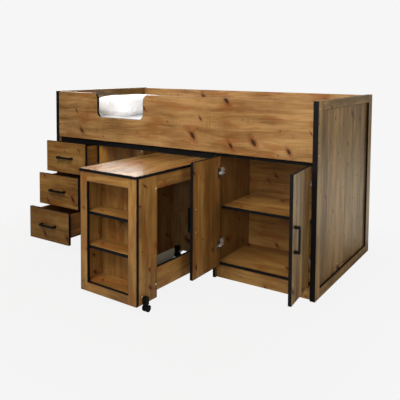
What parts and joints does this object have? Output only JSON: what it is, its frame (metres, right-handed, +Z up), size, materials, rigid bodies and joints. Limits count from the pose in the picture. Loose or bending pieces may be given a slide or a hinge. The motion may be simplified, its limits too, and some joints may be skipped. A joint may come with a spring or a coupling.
{
  "type": "cabin bed",
  "caption": "Mid-height single cabin bed in rustic oak board with black edges, with a drawer chest, a door cupboard and a roll-out desk with a bookcase underneath.",
  "frame": {"origin": "front left corner of the left end panel, at floor level", "axes": "+X from the left end to the right end, +Y from the front to the wall side, +Z up"},
  "size_m": [2.015, 1.6697, 1.09],
  "materials": {
    "rustic_oak": "satin",
    "pale_wood": "matt",
    "black_board": "satin",
    "edging": "satin",
    "black_metal": "satin",
    "castor_wheel": "satin",
    "steel": "satin",
    "mattress_cloth": "matt",
    "pillow_cloth": "matt"
  },
  "bodies": {
    "bed": {"end_frames": "rustic_oak", "end_fields": "rustic_oak", "guard_front": "rustic_oak", "rear_boards": "rustic_oak", "rail_front": "black_board", "slat_ledges": "pale_wood", "slats": "pale_wood", "mattress": "mattress_cloth", "pillow": "pillow_cloth", "chest_side": "rustic_oak", "chest_decks": "rustic_oak", "chest_back": "rustic_oak", "drawer_runners": "steel", "cupboard_plinth": "rustic_oak", "cupboard_side": "rustic_oak", "cupboard_decks": "rustic_oak", "cupboard_back": "rustic_oak", "cupboard_shelf": "rustic_oak", "shelf_pins": "steel", "hinge_plates": "steel", "edge_bands": "edging"},
    "drawer_top": {"drawer_top_front": "rustic_oak", "drawer_top_edges": "edging", "drawer_top_box": "rustic_oak", "drawer_top_handle": "black_metal"},
    "drawer_middle": {"drawer_middle_front": "rustic_oak", "drawer_middle_edges": "edging", "drawer_middle_box": "rustic_oak", "drawer_middle_handle": "black_metal"},
    "drawer_bottom": {"drawer_bottom_front": "rustic_oak", "drawer_bottom_edges": "edging", "drawer_bottom_box": "rustic_oak", "drawer_bottom_handle": "black_metal"},
    "door_left": {"door_left_panel": "rustic_oak", "door_left_edges": "edging", "door_left_cups": "steel", "door_left_handle": "black_metal"},
    "links_left": {"hinge_links_left": "steel"},
    "door_right": {"door_right_panel": "rustic_oak", "door_right_edges": "edging", "door_right_cups": "steel", "door_right_handle": "black_metal"},
    "links_right": {"hinge_links_right": "steel"},
    "desk": {"desk_top": "rustic_oak", "desk_face_frame": "rustic_oak", "desk_sides": "rustic_oak", "desk_shelves": "rustic_oak", "desk_back": "rustic_oak", "desk_side_rails": "rustic_oak", "desk_rear": "rustic_oak", "desk_edges": "edging", "castor_brackets": "black_metal"},
    "castor_front_right": {"castor_front_right": "black_metal"},
    "wheels_front_right": {"wheels_front_right": "castor_wheel"},
    "castor_front_left": {"castor_front_left": "black_metal"},
    "wheels_front_left": {"wheels_front_left": "castor_wheel"},
    "castor_rear_left": {"castor_rear_left": "black_metal"},
    "wheels_rear_left": {"wheels_rear_left": "castor_wheel"},
    "castor_rear_right": {"castor_rear_right": "black_metal"},
    "wheels_rear_right": {"wheels_rear_right": "castor_wheel"}
  },
  "joints": [
    {"name": "drawer_top_slide", "type": "slide", "parent": "bed", "child": "drawer_top", "axis": [0, -1, 0], "range_m": [-0.119, 0.231]},
    {"name": "drawer_middle_slide", "type": "slide", "parent": "bed", "child": "drawer_middle", "axis": [0, -1, 0], "range_m": [-0.189, 0.161]},
    {"name": "drawer_bottom_slide", "type": "slide", "parent": "bed", "child": "drawer_bottom", "axis": [0, -1, 0], "range_m": [-0.274, 0.076]},
    {"name": "door_left_hinge", "type": "hinge", "parent": "bed", "child": "door_left", "pos_m": [1.3795, 0.0005, 0.202], "axis": [0, 0, -1], "range_deg": [-90, 5]},
    {"name": "door_right_hinge", "type": "hinge", "parent": "bed", "child": "door_right", "pos_m": [1.9605, 0.0005, 0.202], "axis": [0, 0, 1], "range_deg": [-95, 0]},
    {"name": "links_left_hinge", "type": "hinge", "parent": "bed", "child": "links_left", "pos_m": [1.382, 0.029, 0.202], "axis": [0, 0, -1], "range_deg": [-90, 5]},
    {"name": "links_right_hinge", "type": "hinge", "parent": "bed", "child": "links_right", "pos_m": [1.958, 0.029, 0.202], "axis": [0, 0, 1], "range_deg": [-95, 0]},
    {"name": "desk_slide", "type": "slide", "parent": "bed", "child": "desk", "axis": [0, -1, 0], "range_m": [-0.64, 0.1]},
    {"name": "swivel_front_right", "type": "hinge", "parent": "desk", "child": "castor_front_right", "pos_m": [1.31232, -0.59409, 0], "axis": [0, 0, 1], "continuous": true},
    {"name": "spin_front_right", "type": "hinge", "parent": "castor_front_right", "child": "wheels_front_right", "pos_m": [1.31251, -0.5891, 0.017], "axis": [0.9993, -0.0379, 0], "continuous": true},
    {"name": "swivel_front_left", "type": "hinge", "parent": "desk", "child": "castor_front_left", "pos_m": [0.92375, -0.44327, 0], "axis": [0, 0, 1], "continuous": true},
    {"name": "spin_front_left", "type": "hinge", "parent": "castor_front_left", "child": "wheels_front_left", "pos_m": [0.92394, -0.43828, 0.017], "axis": [0.9993, -0.0379, 0], "continuous": true},
    {"name": "swivel_rear_left", "type": "hinge", "parent": "desk", "child": "castor_rear_left", "pos_m": [0.97648, 0.15616, 0], "axis": [0, 0, 1], "continuous": true},
    {"name": "spin_rear_left", "type": "hinge", "parent": "castor_rear_left", "child": "wheels_rear_left", "pos_m": [0.97667, 0.16116, 0.017], "axis": [0.9993, -0.0379, 0], "continuous": true},
    {"name": "swivel_rear_right", "type": "hinge", "parent": "desk", "child": "castor_rear_right", "pos_m": [1.26628, 0.14518, 0], "axis": [0, 0, 1], "continuous": true},
    {"name": "spin_rear_right", "type": "hinge", "parent": "castor_rear_right", "child": "wheels_rear_right", "pos_m": [1.26646, 0.15018, 0.017], "axis": [0.9993, -0.0379, 0], "continuous": true}
  ],
  "couplings": [
    {"joint": "links_left_hinge", "follows": "door_left_hinge", "ratio": 1},
    {"joint": "links_right_hinge", "follows": "door_right_hinge", "ratio": 1}
  ]
}
